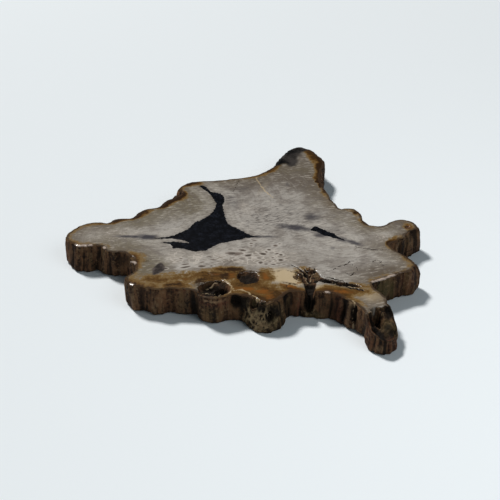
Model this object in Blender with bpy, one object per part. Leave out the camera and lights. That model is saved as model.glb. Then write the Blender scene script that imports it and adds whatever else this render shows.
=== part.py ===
"""A polished cross-cut slab of petrified wood, modelled as the one solid stone that it is.

The trunk's star-shaped outline is lofted from the sawn underside up to the polished face. The rim is
rounded over a little where it was polished and a lot where a lobe of the old bark is weathered.
Knots, pits and fissures are then hollowed out with ellipsoid cutters.

The frame: +Z up, +X to the slab's right and +Y to its back, with the origin at the middle of the
bounding box on the underside. Lengths are in metres, and the drawing below is in millimetres.
"""

import math

import bmesh
import bpy
from mathutils import Euler, Matrix, Vector, noise

MM = 0.001

THICKNESS = 42 * MM
SAMPLE_STEP = 5.6 * MM
ARRIS = 2 * MM
UNDER_WIDE = 3.5 * MM
UNDER_DEEP = 5 * MM
RIPPLE = 1.3 * MM
RIPPLE_LENGTH = 17 * MM
SMOOTHED_OVER = 4

# Heights of the lofted sections, as shares of the thickness.
SECTIONS = (0, 0.036, 0.12, 0.45, 0.64, 0.8, 0.9, 0.953, 0.985, 1)

# The outline seen from above, in millimetres, clockwise from the tip of the west arm.
OUTLINE = {
    "west_arm_back": [
        (-276, -30), (-270, -10), (-252, 9), (-232, 14), (-217, 12), (-212, 21), (-203, 25),
        (-184, 27), (-179, 40), (-168, 54), (-152, 61), (-143, 69), (-138, 84), (-127, 93),
    ],
    "north_west_shoulder": [
        (-122, 106), (-120, 126), (-112, 143), (-98, 154), (-82, 157), (-34, 165), (5, 178), (26, 194),
    ],
    "north_spur": [
        (40, 214), (49, 240), (62, 268), (76, 291), (91, 302), (104, 294), (115, 280), (125, 258),
        (132, 238), (131, 216), (124, 190), (121, 165), (122, 148), (125, 128), (130, 100), (137, 74), (144, 57),
    ],
    "north_east_knuckle": [
        (151, 60), (161, 60), (170, 50), (175, 38), (175, 24), (180, 9), (187, 3), (199, 3),
    ],
    "east_lobe": [
        (212, 11), (224, 20), (234, 24), (247, 18), (258, 7), (262, -5), (256, -14), (240, -24),
        (226, -37), (212, -49), (206, -60),
    ],
    "south_east_lobe": [
        (215, -73), (225, -87), (235, -96), (241, -108), (237, -120), (225, -128), (209, -133),
        (196, -141), (183, -149), (171, -154), (165, -161),
    ],
    "south_leg": [
        (174, -177), (181, -190), (181, -203), (189, -216), (190, -232), (186, -246), (180, -256),
        (169, -260), (157, -253), (149, -238), (146, -223), (140, -210), (130, -199), (119, -188),
        (108, -181),
    ],
    "south_wall": [(92, -180), (69, -180), (54, -180)],
    "boulder": [(46, -190), (39, -203), (27, -210), (13, -209), (2, -203), (-8, -190)],
    "knot_lobe": [(-24, -187), (-37, -193), (-52, -195), (-66, -188), (-75, -176)],
    "south_west_lobe": [
        (-94, -172), (-112, -171), (-122, -174), (-132, -173), (-145, -168), (-159, -163),
        (-169, -154), (-172, -143), (-165, -133), (-160, -123),
    ],
    "west_arm_front": [
        (-162, -113), (-168, -101), (-174, -90), (-178, -80), (-187, -75), (-198, -77), (-208, -73),
        (-213, -64), (-222, -58), (-232, -56), (-242, -59), (-254, -57), (-267, -47),
    ],
}

# Where the bark is weathered round: the middle, the reach, and how wide and deep the rim is rounded.
WEATHERED = {
    "boulder": ((19, -200), 32, 17, 25),
    "south_east_lobe": ((238, -112), 26, 9, 24),
    "east_lobe": ((250, -12), 28, 9, 20),
    "leg_tip": ((176, -246), 34, 7, 22),
    "leg_outer_side": ((196, -222), 24, 5, 22),
    "spur_tip": ((100, 296), 26, 2.5, 6),
}

# Where the wall leans out towards its foot: the middle, the reach, and how far the foot stands out.
LEANING = {
    "west_arm_front": ((-240, -58), 46, 8),
    "boulder": ((18, -206), 44, 8),
    "south_wall": ((112, -188), 50, 5),
    "leg_tip": ((172, -256), 34, 5),
}

# Hollows: the middle, the three half axes, and the turns about X, Y and Z in degrees.
HOLLOWS = {
    "cup_knot": ((-49, -170, 43), (23, 20, 12), (0, 0, 8)),
    "cup_knot_throat": ((-40, -168, 33), (9, 8, 8), (0, 0, 0)),
    "round_knot": ((-2, -143, 44), (17, 17, 9), (0, 0, 0)),
    "side_recess": ((-20, -186, 33), (7, 8, 9), (12, 0, 20)),
    "boulder_pit": ((8, -197, 36), (8, 7, 6), (18, 0, 0)),
    "boulder_cleft": ((27, -209, 22), (9, 7, 9), (-10, 0, 30)),
    "wall_slot": ((80, -182, 24), (7, 13, 18), (-6, 0, 0)),
    "splintered_root": ((84, -143, 43), (13, 18, 8), (0, 0, -12)),
    "splintered_throat": ((81, -166, 42), (8, 15, 11), (0, 0, 0)),
    "long_fissure": ((121, -157, 43), (33, 4.5, 6), (0, 0, -17)),
    "wall_groove_west": ((124, -195, 23), (3.2, 9, 18), (0, 6, -40)),
    "wall_groove_east": ((139, -205, 25), (3.2, 8, 16), (0, 8, -50)),
    "leg_slope": ((187, -262, 57), (42, 56, 36), (-14, 0, 20)),
    "leg_hollow": ((166, -226, 29), (8, 28, 15), (-14, 0, 22)),
    "east_lobe_pit": ((240, -2, 43), (5, 6, 4), (0, 0, 0)),
    "shoulder_chip": ((-117, 113, 45), (8, 14, 7), (0, 0, 0)),
    "corner_chip": ((-169, -93, 45), (5, 10, 6), (0, 0, 20)),
}

STONE_COLOUR = (0.28, 0.25, 0.21, 1)
STONE_ROUGHNESS = 0.45


def empty_scene():
    for obj in list(bpy.data.objects):
        bpy.data.objects.remove(obj)


def stone_material():
    material = bpy.data.materials.new("petrified_wood")
    material.use_nodes = True
    shader = material.node_tree.nodes["Principled BSDF"]
    shader.inputs["Base Color"].default_value = STONE_COLOUR
    shader.inputs["Roughness"].default_value = STONE_ROUGHNESS
    shader.inputs["Metallic"].default_value = 0
    return material


def between(before, start, end, after, share):
    """The point on the Catmull-Rom curve from start to end."""
    return 0.5 * (
        2 * start
        + (end - before) * share
        + (2 * before - 5 * start + 4 * end - after) * share**2
        + (3 * start - before - 3 * end + after) * share**3
    )


def outline_points():
    """The outline as evenly spaced points, anticlockwise seen from above."""
    drawn = [Vector(point) * MM for stretch in OUTLINE.values() for point in stretch]
    drawn.reverse()
    count = len(drawn)
    fine = 12
    curve = [
        between(drawn[i - 1], drawn[i], drawn[(i + 1) % count], drawn[(i + 2) % count], j / fine)
        for i in range(count)
        for j in range(fine)
    ]
    lengths = [(curve[(i + 1) % len(curve)] - point).length for i, point in enumerate(curve)]
    wanted = round(sum(lengths) / SAMPLE_STEP)
    step = sum(lengths) / wanted
    points, travelled, target = [], 0.0, 0.0
    for i, length in enumerate(lengths):
        while target < travelled + length and len(points) < wanted:
            points.append(curve[i].lerp(curve[(i + 1) % len(curve)], (target - travelled) / length))
            target += step
        travelled += length
    return points


def outward(points, i, reach):
    """The outline's outward direction at point i, taken over reach points on each side."""
    along = points[(i + reach) % len(points)] - points[i - reach]
    return Vector((along.y, -along.x)).normalized()


def rippled(points):
    """The outline with the shallow flutes of the bark, which run down the wall."""
    moved = []
    for i, point in enumerate(points):
        swell = noise.noise(Vector((point.x, point.y, 0)) / RIPPLE_LENGTH)
        moved.append(point + outward(points, i, 1) * RIPPLE * swell)
    return moved


def rounding(point):
    """How wide and how deep the rim is rounded over at a point of the outline."""
    wide, deep = ARRIS, ARRIS
    for middle, reach, more_wide, more_deep in WEATHERED.values():
        distance = (point - Vector(middle) * MM).length / (reach * MM)
        weight = max(0.0, 1 - distance**2) ** 1.5
        wide += more_wide * MM * weight
        deep += more_deep * MM * weight
    return wide, deep


def lean(point):
    """How far the wall's foot stands outside the outline at a point of it."""
    reached = [
        (further * MM, (point - Vector(middle) * MM).length / (reach * MM))
        for middle, reach, further in LEANING.values()
    ]
    return max(further * max(0.0, 1 - distance**2) for further, distance in reached)


def inset(height, wide, deep):
    """How far the wall stands inside the outline at a height."""
    if height < UNDER_DEEP:
        share = 1 - height / UNDER_DEEP
        return UNDER_WIDE * (1 - math.sqrt(1 - share**2))
    share = max(0.0, 1 - (THICKNESS - height) / deep)
    return wide * (1 - math.sqrt(1 - share**2))


def slab_blank():
    """The slab before its hollows: one ring of points for each section, and a face on each end."""
    points = rippled(outline_points())
    count = len(points)
    roundings = [rounding(point) for point in points]
    leans = [lean(point) for point in points]
    mesh = bmesh.new()
    rings = []
    for share in SECTIONS:
        height = share * THICKNESS
        ring = []
        for i, point in enumerate(points):
            wide, deep = roundings[i]
            reach = SMOOTHED_OVER if wide > 2 * ARRIS else 1
            back = inset(height, wide, deep) - leans[i] * (1 - share)
            place = point - outward(points, i, reach) * back
            ring.append(mesh.verts.new((place.x, place.y, height)))
        rings.append(ring)
    for lower, upper in zip(rings, rings[1:]):
        for i in range(count):
            j = (i + 1) % count
            mesh.faces.new((lower[i], lower[j], upper[j], upper[i]))
    mesh.faces.new(reversed(rings[0]))
    mesh.faces.new(rings[-1])
    return finished("petrified_wood_slab", mesh)


def finished(name, mesh):
    data = bpy.data.meshes.new(name)
    mesh.to_mesh(data)
    mesh.free()
    return bpy.data.objects.new(name, data)


def hollow_cutter(name, middle, half_axes, turns):
    mesh = bmesh.new()
    bmesh.ops.create_icosphere(mesh, subdivisions=3, radius=1)
    turn = Euler([math.radians(angle) for angle in turns]).to_matrix().to_4x4()
    place = Matrix.Translation(Vector(middle) * MM)
    size = Matrix.Diagonal((*[axis * MM for axis in half_axes], 1))
    bmesh.ops.transform(mesh, matrix=place @ turn @ size, verts=mesh.verts)
    cutter = finished(name + "_cutter", mesh)
    cutter.hide_render = True
    cutter.display_type = "WIRE"
    return cutter


def hollow_out(slab, cutters):
    """Cuts the hollows for good, so that the slab can then be centred on its own bounding box."""
    for cutter in cutters:
        cut = slab.modifiers.new(cutter.name, "BOOLEAN")
        cut.operation = "DIFFERENCE"
        cut.object = cutter
    bpy.context.view_layer.update()
    evaluated = slab.evaluated_get(bpy.context.evaluated_depsgraph_get())
    hollowed = bpy.data.meshes.new_from_object(evaluated)
    slab.modifiers.clear()
    slab.data = hollowed


def centre(slab, cutters):
    """Puts the origin at the middle of the underside's bounding box."""
    corners = [Vector(corner) for corner in slab.bound_box]
    middle = (corners[0] + corners[6]) / 2
    shift = Matrix.Translation((-middle.x, -middle.y, -corners[0].z))
    slab.data.transform(shift)
    for cutter in cutters:
        cutter.data.transform(shift)


def build():
    empty_scene()
    parts = bpy.data.collections.new("petrified_wood")
    helpers = bpy.data.collections.new("cutters")
    bpy.context.scene.collection.children.link(parts)
    bpy.context.scene.collection.children.link(helpers)
    slab = slab_blank()
    parts.objects.link(slab)
    cutters = [hollow_cutter(name, *hollow) for name, hollow in HOLLOWS.items()]
    for cutter in cutters:
        helpers.objects.link(cutter)
    hollow_out(slab, cutters)
    centre(slab, cutters)
    slab.data.materials.clear()
    slab.data.materials.append(stone_material())
    slab.data.shade_smooth()
    slab.data.set_sharp_from_angle(angle=math.radians(35))


build()
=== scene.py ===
"""A polished slab of petrified wood on a pale studio floor: the finished stone over its CAD solid."""

import math

import bmesh
import bpy
import numpy as np
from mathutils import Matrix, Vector, noise
from mathutils.bvhtree import BVHTree
from mathutils.geometry import delaunay_2d_cdt


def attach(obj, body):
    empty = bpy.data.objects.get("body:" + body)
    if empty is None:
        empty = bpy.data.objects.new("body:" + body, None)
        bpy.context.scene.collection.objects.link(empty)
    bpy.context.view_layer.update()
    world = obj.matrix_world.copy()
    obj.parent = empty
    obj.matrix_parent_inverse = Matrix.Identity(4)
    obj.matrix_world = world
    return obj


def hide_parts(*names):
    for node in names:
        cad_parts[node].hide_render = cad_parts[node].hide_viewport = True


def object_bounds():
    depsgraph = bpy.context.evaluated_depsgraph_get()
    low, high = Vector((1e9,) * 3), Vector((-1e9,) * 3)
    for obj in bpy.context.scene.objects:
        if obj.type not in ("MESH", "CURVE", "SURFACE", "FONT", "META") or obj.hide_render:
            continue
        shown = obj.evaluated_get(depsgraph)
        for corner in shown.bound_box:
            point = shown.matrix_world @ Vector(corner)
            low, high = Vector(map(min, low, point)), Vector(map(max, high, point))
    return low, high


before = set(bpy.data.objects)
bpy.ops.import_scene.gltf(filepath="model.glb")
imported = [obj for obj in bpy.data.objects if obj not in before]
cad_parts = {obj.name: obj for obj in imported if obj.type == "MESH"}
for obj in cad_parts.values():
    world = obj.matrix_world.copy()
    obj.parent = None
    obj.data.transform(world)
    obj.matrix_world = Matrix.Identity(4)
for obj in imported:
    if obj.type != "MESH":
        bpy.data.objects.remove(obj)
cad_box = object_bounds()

# The studio.
# The slab lies on seamless, pale, matt paper under one large and distant lamp behind its left side. A
# weak lamp close by on the right and a pale blue room fill the shadows. The polish doesn't mirror the
# room.
MM = 0.001
VIEW_PITCH = math.radians(31)
VIEW_DISTANCE = 1.267
LENS = 58.7
SENSOR = 36
AIM = Vector((7.3, -18.9, 0)) * MM
KEY_FROM = Vector((-20, 23, 42)).normalized()
KEY_DISTANCE = 24
KEY_WIDTH = 4
KEY_POWER = 5650
KEY_COLOUR = (1, 0.995, 0.98)
FRONT_FROM = Vector((24, -22, 34)).normalized()
FRONT_DISTANCE = 1.4
FRONT_WIDTH = 0.9
FRONT_POWER = 3.4
FRONT_COLOUR = (0.9, 0.97, 1)
ROOM_LIGHT = 0.1
ROOM_COLOUR = (0.7, 0.89, 1, 1)
FLOOR_HALF = 6
FLOOR_COLOUR = (0.82, 0.85, 0.87, 1)
FLOOR_ROUGHNESS = 0.9


def lamp(name, towards, distance, width, power, colour):
    data = bpy.data.lights.new(name, "AREA")
    data.shape = "DISK"
    data.size = width
    data.energy = power
    data.color = colour
    made = bpy.data.objects.new(name, data)
    made.location = AIM + towards * distance
    made.rotation_euler = towards.to_track_quat("Z", "Y").to_euler()
    bpy.context.collection.objects.link(made)


lamp("key_lamp", KEY_FROM, KEY_DISTANCE, KEY_WIDTH, KEY_POWER, KEY_COLOUR)
lamp("front_lamp", FRONT_FROM, FRONT_DISTANCE, FRONT_WIDTH, FRONT_POWER, FRONT_COLOUR)

room = bpy.data.worlds.new("studio_room")
room.use_nodes = True
backdrop = room.node_tree.nodes["Background"]
backdrop.inputs["Color"].default_value = ROOM_COLOUR
backdrop.inputs["Strength"].default_value = ROOM_LIGHT
bpy.context.scene.world = room
room.cycles_visibility.glossy = False
bpy.context.scene.view_settings.view_transform = "Standard"

camera = bpy.data.objects.new("camera", bpy.data.cameras.new("camera"))
camera.data.lens = LENS
camera.data.sensor_width = SENSOR
backwards = Vector((0, -math.cos(VIEW_PITCH), math.sin(VIEW_PITCH)))
camera.location = AIM + VIEW_DISTANCE * backwards
camera.rotation_euler = (math.pi / 2 - VIEW_PITCH, 0, 0)
bpy.context.collection.objects.link(camera)
bpy.context.scene.camera = camera

floor_mesh = bmesh.new()
bmesh.ops.create_grid(floor_mesh, x_segments=1, y_segments=1, size=FLOOR_HALF)
floor_data = bpy.data.meshes.new("studio_floor")
floor_mesh.to_mesh(floor_data)
floor_mesh.free()
floor = bpy.data.objects.new("studio_floor", floor_data)
floor.location.z = cad_box[0].z
bpy.context.collection.objects.link(floor)
floor_paint = bpy.data.materials.new("pale_floor")
floor_paint.use_nodes = True
floor_shader = floor_paint.node_tree.nodes["Principled BSDF"]
floor_shader.inputs["Base Color"].default_value = FLOOR_COLOUR
floor_shader.inputs["Roughness"].default_value = FLOOR_ROUGHNESS
floor_shader.inputs["Specular IOR Level"].default_value = 0
floor_data.materials.append(floor_paint)

# The bark wall.
# The rim is the trunk's own fossil bark, never sawn: upright ribs and sharp grooves that run down the
# wall, with rot holes and splits. Each upright strip of the wall is laid on the solid and then fluted.
STRIP = 1.45 * MM
TRUE_OUTLINE_HEIGHT = 4.9 * MM
WELD = 0.01 * MM
# The rows of points up the wall: some over the foot, some shared out between, some under the rim.
LOW_HEIGHTS = [height * MM for height in (0, 0.5, 1.3, 2.4, 3.7, 5)]
WALL_SHARES = [k / 16 for k in range(1, 16)]
ARRIS_DROPS = [drop * MM for drop in (2.1, 1.5, 1, 0.6, 0.3, 0.08)]
# The ring where the wall meets the face: how far inside the outline it may lie, its distance from the
# rounded edge, and over how many strips each is evened out.
RIM_RING = (3.4 * MM, 13 * MM)
RIM_MARGIN = 1.6 * MM
ARRIS_SPREAD = 12
RIM_EASING = 5
# How deep the wall is looked into, and how far outside it the look starts.
DEEPEST = 26 * MM
START_OUTSIDE = 2.5 * MM
# The stone's grain is noise, which would start from the clock without a seed.
GRAIN_SEED = 11
noise.seed_set(GRAIN_SEED)

slab_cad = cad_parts["petrified_wood_slab"]
top_height = cad_box[1].z
solid = BVHTree.FromPolygons(
    [vertex.co for vertex in slab_cad.data.vertices],
    [face.vertices for face in slab_cad.data.polygons],
)


def place_of(vertex):
    return tuple(vertex.co)


def true_outline():
    """The solid's outline just over its rounded foot, as a closed ring of points."""
    cut = bmesh.new()
    cut.from_mesh(slab_cad.data)
    bmesh.ops.remove_doubles(cut, verts=cut.verts, dist=WELD)
    sliced = bmesh.ops.bisect_plane(
        cut,
        geom=cut.verts[:] + cut.edges[:] + cut.faces[:],
        plane_co=(0, 0, TRUE_OUTLINE_HEIGHT),
        plane_no=(0, 0, 1),
    )["geom_cut"]
    links = {}
    for edge in sliced:
        if isinstance(edge, bmesh.types.BMEdge):
            first, second = edge.verts
            links.setdefault(first, []).append(second)
            links.setdefault(second, []).append(first)
    rings = []
    seen = set()
    for start in sorted(links, key=place_of):
        if start in seen:
            continue
        ring, here, before = [], start, None
        while here is not None and here not in seen:
            seen.add(here)
            ring.append(here.co.xy.to_tuple())
            onward = [other for other in links[here] if other is not before and other not in seen]
            before, here = here, min(onward, key=place_of, default=None)
        rings.append(ring)
    cut.free()
    ring = np.array(max(rings, key=len))
    return ring if area_of(ring) > 0 else ring[::-1]


def area_of(ring):
    after = np.roll(ring, -1, axis=0)
    return 0.5 * np.sum(ring[:, 0] * after[:, 1] - ring[:, 1] * after[:, 0])


def evenly_spaced(ring, step):
    closed = np.vstack([ring, ring[:1]])
    travelled = np.concatenate([[0], np.cumsum(np.linalg.norm(np.diff(closed, axis=0), axis=1))])
    count = round(travelled[-1] / step)
    wanted = np.arange(count) * travelled[-1] / count
    return np.stack([np.interp(wanted, travelled, closed[:, k]) for k in (0, 1)], axis=1)


def eased(values, reach):
    """Values round a closed ring, smoothed over about that many neighbours."""
    offsets = np.arange(-3 * reach, 3 * reach + 1)
    weights = np.exp(-0.5 * (offsets / reach) ** 2)
    weights /= weights.sum()
    return sum(weight * np.roll(values, offset, axis=0) for weight, offset in zip(weights, offsets))


def outward_of(ring):
    along = np.roll(ring, -1, axis=0) - np.roll(ring, 1, axis=0)
    facing = np.stack([along[:, 1], -along[:, 0]], axis=1)
    return facing / np.linalg.norm(facing, axis=1, keepdims=True)


outline = eased(evenly_spaced(true_outline(), STRIP), 1)
outward = eased(outward_of(outline), 2)
outward /= np.linalg.norm(outward, axis=1, keepdims=True)
strips = len(outline)


def ground_under(x, y):
    """The height of the solid's upper surface at a place, or nothing beside it."""
    hit = solid.ray_cast(Vector((x, y, 2 * top_height)), Vector((0, 0, -1)))[0]
    return None if hit is None else hit.z


def set_back(strip, height):
    """How far the solid's wall stands inside the outline on a strip, at a height."""
    facing = Vector((*outward[strip], 0))
    start = Vector((*outline[strip], height)) + facing * START_OUTSIDE
    distance = solid.ray_cast(start, -facing, DEEPEST + START_OUTSIDE)[3]
    return None if distance is None else distance - START_OUTSIDE


def neighbours(values, axis):
    """The sum of the two values beside each one, round a closed ring."""
    return np.roll(values, 1, axis=axis) + np.roll(values, -1, axis=axis)


arris = np.array([set_back(strip, top_height - ARRIS_DROPS[-1]) or 0 for strip in range(strips)])
offsets = range(-ARRIS_SPREAD, ARRIS_SPREAD + 1)
arris = np.median([np.roll(arris, offset) for offset in offsets], axis=0)
rim_inset = eased(np.clip(arris + RIM_MARGIN, *RIM_RING), RIM_EASING)
rim_ring = outline - outward * rim_inset[:, None]
for turn in range(3):
    rim_ring = 0.5 * rim_ring + 0.25 * neighbours(rim_ring, 0)
rim_heights = np.array([ground_under(x, y) or top_height for x, y in rim_ring])
rim_heights = np.minimum(eased(rim_heights, 1), top_height)

rows = []
for height in LOW_HEIGHTS:
    rows.append(np.full(strips, height))
for share in WALL_SHARES:
    rows.append(LOW_HEIGHTS[-1] + (rim_heights - ARRIS_DROPS[0] - LOW_HEIGHTS[-1]) * share)
for drop in ARRIS_DROPS:
    rows.append(rim_heights - drop)
heights = np.array(rows)

# The hollows' ragged edges, as waves. An edge stays where it is near the foot and the rim, and moves in
# full only beyond the firm edge.
WALL_RAGGED = ((75, 2.4), (220, 1.1))
FIRM_EDGE = 6 * MM
FIRM_SHARE = 0.2
LOWEST_LOOK = 0.05 * MM


def stray(place, *waves):
    """How far noise moves a place. Each wave is its scale and its reach in millimetres."""
    moved = Vector((0, 0, 0))
    for scale, reach in waves:
        moved += noise.noise_vector(place * scale) * reach * MM
    return moved


def worn_back(strip, height):
    """The wall's set back with the hollows' edges made ragged, away from the rim and the foot."""
    freedom = min(rim_heights[strip] - height, height) / FIRM_EDGE - FIRM_SHARE
    freedom = min(1, max(0, freedom))
    jog = stray(Vector((*outline[strip], height)), *WALL_RAGGED)
    beside = (strip + round(freedom * jog.x / STRIP)) % strips
    return set_back(beside, max(height + freedom * jog.z, LOWEST_LOOK))


backs = np.zeros_like(heights)
for row in range(len(heights)):
    for strip in range(strips):
        back = worn_back(strip, heights[row, strip])
        backs[row, strip] = rim_inset[strip] if back is None else min(back, DEEPEST)
smoother = backs.copy()
for turn in range(2):
    around = 0.5 * smoother + 0.25 * neighbours(smoother, 1)
    smoother[1:-1] = 0.5 * around[1:-1] + 0.25 * (around[:-2] + around[2:])
backs[1:] = smoother[1:]


def ribs(x, y, z):
    """The bark's upright ribs: rounded backs between sharp grooves, from -1.4 up to about 1.5."""
    sway = noise.noise(Vector((x * 25, y * 25, z * 18))) * 4 * MM
    column = abs(noise.noise(Vector(((x + sway) * 46, (y + sway) * 46, z * 4 + 5))))
    broad = abs(noise.noise(Vector(((x + sway) * 76, (y + sway) * 76, z * 7))))
    narrow = abs(noise.noise(Vector(((x + sway) * 190, (y + sway) * 190, z * 18 + 3))))
    fine = abs(noise.noise(Vector(((x + sway) * 400, (y - sway) * 400, z * 50 + 7))))
    return 4.2 * min(column, 0.35) + 1.2 * broad + 0.8 * narrow + 0.5 * fine - 1.4


GRIT_WAVES = ((140, 1), (330, 0.6), (700, 0.35))


def grit(x, y, z):
    """The broken surface of weathered stone, about -1 to 1."""
    place = Vector((x, y, z))
    return sum(height * noise.noise(place * scale) for scale, height in GRIT_WAVES)


# Where a net of small rot pits pocks the bark: the middle, the reach and the strength.
POCKED = [
    ((22, -214, 20), 38, 1), ((-40, -206, 22), 26, 0.35), ((172, -250, 26), 40, 0.45),
    ((89, -196, 14), 16, 0.7),
]
PITS_IN_A_METRE = 105
PIT_STRAY = (160, 2)


def pocks(x, y, z):
    """How pocked the bark is here, and how deep the pock: 0 on the net's strands, up to 1 in a pit."""
    place = Vector((x, y, z))
    share = 0
    for middle, reach, strength in POCKED:
        away = (place - Vector(middle) * MM).length / (reach * MM)
        share = max(share, strength * min(1, max(0, 2 - 2 * away)))
    if share == 0:
        return 0, 0
    near, next_near = noise.voronoi((place + stray(place, PIT_STRAY)) * PITS_IN_A_METRE)[0][:2]
    return share, share * min(1, max(0, (next_near - near) * 2.4 - 0.1))


# How deep each kind of wear goes. A hollow is a place set back from the wall for some strips round it.
RIB_DEPTH = 2.3 * MM
GRIT_DEPTH = 0.45 * MM
POCK_DEPTH = 2.1 * MM
CHIP_DEPTH = 0.6 * MM
HOLLOW_SPREAD = 14
HOLLOW_DEPTH = 6 * MM
wall_points = np.zeros((len(heights) + 1, strips, 3))
wall_ribs, wall_nets, wall_pocks = (np.zeros((len(heights) + 1, strips)) for kind in range(3))
hollow = np.clip((backs - eased(backs.T, HOLLOW_SPREAD).T) / HOLLOW_DEPTH, 0, 1)
for row in range(len(heights)):
    for strip in range(strips):
        height = heights[row, strip]
        x, y = outline[strip] - outward[strip] * backs[row, strip]
        # The wear comes in just below the rim and above the foot, and the ribs grow on their way down.
        below_rim = (rim_heights[strip] - height) / MM
        broken = min(1, max(0, (below_rim - 0.4) / 3)) * min(1, height / (1.5 * MM))
        grown = 0.4 + 0.6 * min(1, below_rim / 12)
        wall_ribs[row, strip] = ribs(*outline[strip], height)
        net, pock = pocks(x, y, height)
        wall_nets[row, strip], wall_pocks[row, strip] = broken * net, broken * pock
        push = RIB_DEPTH * grown * wall_ribs[row, strip] - POCK_DEPTH * wall_pocks[row, strip]
        push += GRIT_DEPTH * broken * (1 + 2 * hollow[row, strip]) * grit(x, y, height)
        x, y = (x, y) + outward[strip] * push
        wall_points[row, strip] = (x, y, height)
for strip in range(strips):
    x, y = rim_ring[strip]
    wall_ribs[-1, strip] = ribs(*outline[strip], rim_heights[strip])
    chipped = 0.4 * RIB_DEPTH * wall_ribs[-1, strip] + CHIP_DEPTH * grit(x, y, 0)
    x, y = (x, y) + outward[strip] * chipped
    wall_points[-1, strip] = (x, y, rim_heights[strip])

# The polished face and the sawn underside.
# Both are saw cuts across the grain. The upper one is ground flat and polished, and only the knots,
# rot holes and the broken leg lie below it. The lower one is left as it came from the saw.
FACE_STEP = 2.8 * MM
DETAIL_STEP = 1.4 * MM
DETAIL_REACH = 3.2 * MM
UNDERSIDE_STEP = 9 * MM
# The grid of points, in steps: how far its rows are apart, how uneven it is and its space at the rim.
ROW_RISE = 0.866
UNEVENNESS = 0.16
CLEARANCE = 0.75

# The black heart, the pocket beside it, the charred tip of the spur and a dark inclusion like a
# pebble, as outlines on the face in millimetres.
HEART = [
    (-76, 120), (-68, 119), (-58, 100), (-47, 94), (-39, 89), (-34, 74), (-34, 61), (-36, 49),
    (-34, 27), (-31, 11), (-26, -10), (-16, -21), (-5, -32), (6, -44), (19, -51), (3, -54), (-9, -60),
    (-24, -65), (-37, -71), (-45, -77), (-55, -89), (-64, -91), (-74, -93), (-83, -89), (-97, -84),
    (-105, -84), (-110, -74), (-122, -68), (-111, -65), (-96, -66), (-82, -69), (-90, -62), (-103, -57),
    (-126, -56), (-138, -55), (-126, -53), (-110, -48), (-99, -39), (-89, -29), (-83, -20), (-78, -7),
    (-68, 2), (-58, 15), (-51, 30), (-47, 49), (-48, 58), (-53, 74), (-60, 91), (-68, 104), (-75, 115),
]
POCKET = [
    (99, -30), (107, -18), (114, -24), (124, -34), (131, -39), (140, -50), (149, -61), (137, -57),
    (124, -49), (116, -45), (109, -35), (103, -33),
]
CHAR = [
    (115, 288), (97, 298), (83, 290), (66, 266), (56, 241), (46, 218), (40, 193), (61, 199), (70, 205),
    (77, 197), (88, 200), (93, 219), (96, 244), (106, 255), (113, 264),
]
INCLUSION = [
    (-128, -155), (-129, -139), (-123, -126), (-117, -125), (-112, -139), (-116, -148), (-123, -155),
]
# Where the polish has broken away in splinters: the middle, the reach and how deep.
BROKEN = [
    ((84, -151), 20, 3), ((76, -164), 14, 2), ((60, -180), 12, 1.4), ((46, -200), 10, 1.6),
    ((-46, -152), 14, 1),
]
# Lumps left standing in the hollows: the middle, the reach and how high.
LUMPS = [((187, -254), 11, 9), ((180, -238), 7, 6), ((164, -240), 7, 4), ((24, -152), 9, 3)]
# Cracks and seams: their half width, then the points they pass through.
CREAM_SEAM = (1.2, [(16, 159), (21, 137), (29, 109), (37, 91), (44, 77)])
PALE_SEAMS = [
    (1.3, [(-52, -181), (-45, -176), (-38, -171)]),
    (0.9, [(-57, -193), (-47, -188), (-40, -190), (-34, -184)]),
    (1, [(-29, -167), (-20, -178), (-16, -190), (-22, -203)]),
    (1.1, [(-15, -194), (-4, -192), (6, -200), (9, -208)]),
    (1, [(12, -206), (18, -214), (26, -222), (34, -220)]),
    (1.2, [(138, -214), (143, -220), (147, -228)]),
    (0.8, [(66, -137), (76, -146), (84, -158), (86, -170)]),
    (0.7, [(100, -146), (92, -152), (90, -164)]), (0.7, [(78, -136), (82, -146), (90, -150)]),
    (0.9, [(120, -170), (134, -177), (150, -187)]),
]
DARK_CRACKS = [
    (3.4, [(162, -246), (167, -256), (173, -268), (178, -280)]),
    (1.2, [(84, -140), (87, -152), (89, -166)]), (1, [(95, -150), (97, -160), (96, -172)]),
    (0.9, [(78, -150), (81, -160), (80, -170)]), (1.6, [(163, -238), (171, -241), (180, -236)]),
    (3.6, [(101, -164), (113, -170), (130, -178), (143, -185)]),
    (1.4, [(130, -178), (146, -187), (159, -194)]),
    (0.9, [(104, -157), (122, -164), (140, -175), (152, -183)]),
    (1.1, [(66, -130), (74, -136), (80, -146), (86, -155)]), (1, [(92, -136), (89, -144), (86, -152)]),
    (1, [(98, -138), (96, -145), (90, -153)]), (1, [(60, -144), (70, -148), (80, -154)]),
    (0.55, [(112, -143), (123, -142), (131, -135), (142, -129), (150, -120), (160, -115)]),
    (0.5, [(150, -120), (152, -131), (157, -137), (158, -147)]),
    (0.6, [(140, -149), (147, -157), (152, -149), (158, -157)]),
    (0.6, [(181, -121), (188, -115), (194, -121), (188, -129), (196, -131)]),
    (0.6, [(162, -79), (178, -85), (196, -89), (206, -85)]),
    (0.5, [(-28, 151), (-10, 141), (-16, 123), (-20, 99)]),
]


def loop_through(drawn):
    """A drawn outline as a smooth closed ring, in metres, anticlockwise."""
    corners = np.array(drawn, float) * MM
    before, after = np.roll(corners, 1, axis=0), np.roll(corners, -1, axis=0)
    later = np.roll(corners, -2, axis=0)
    steps = []
    for share in (0, 1 / 3, 2 / 3):
        steps.append(
            0.5
            * (
                2 * corners
                + (after - before) * share
                + (2 * before - 5 * corners + 4 * after - later) * share**2
                + (3 * corners - before - 3 * after + later) * share**3
            )
        )
    return np.stack(steps, axis=1).reshape(-1, 2)


BATCH = 4000


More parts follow.
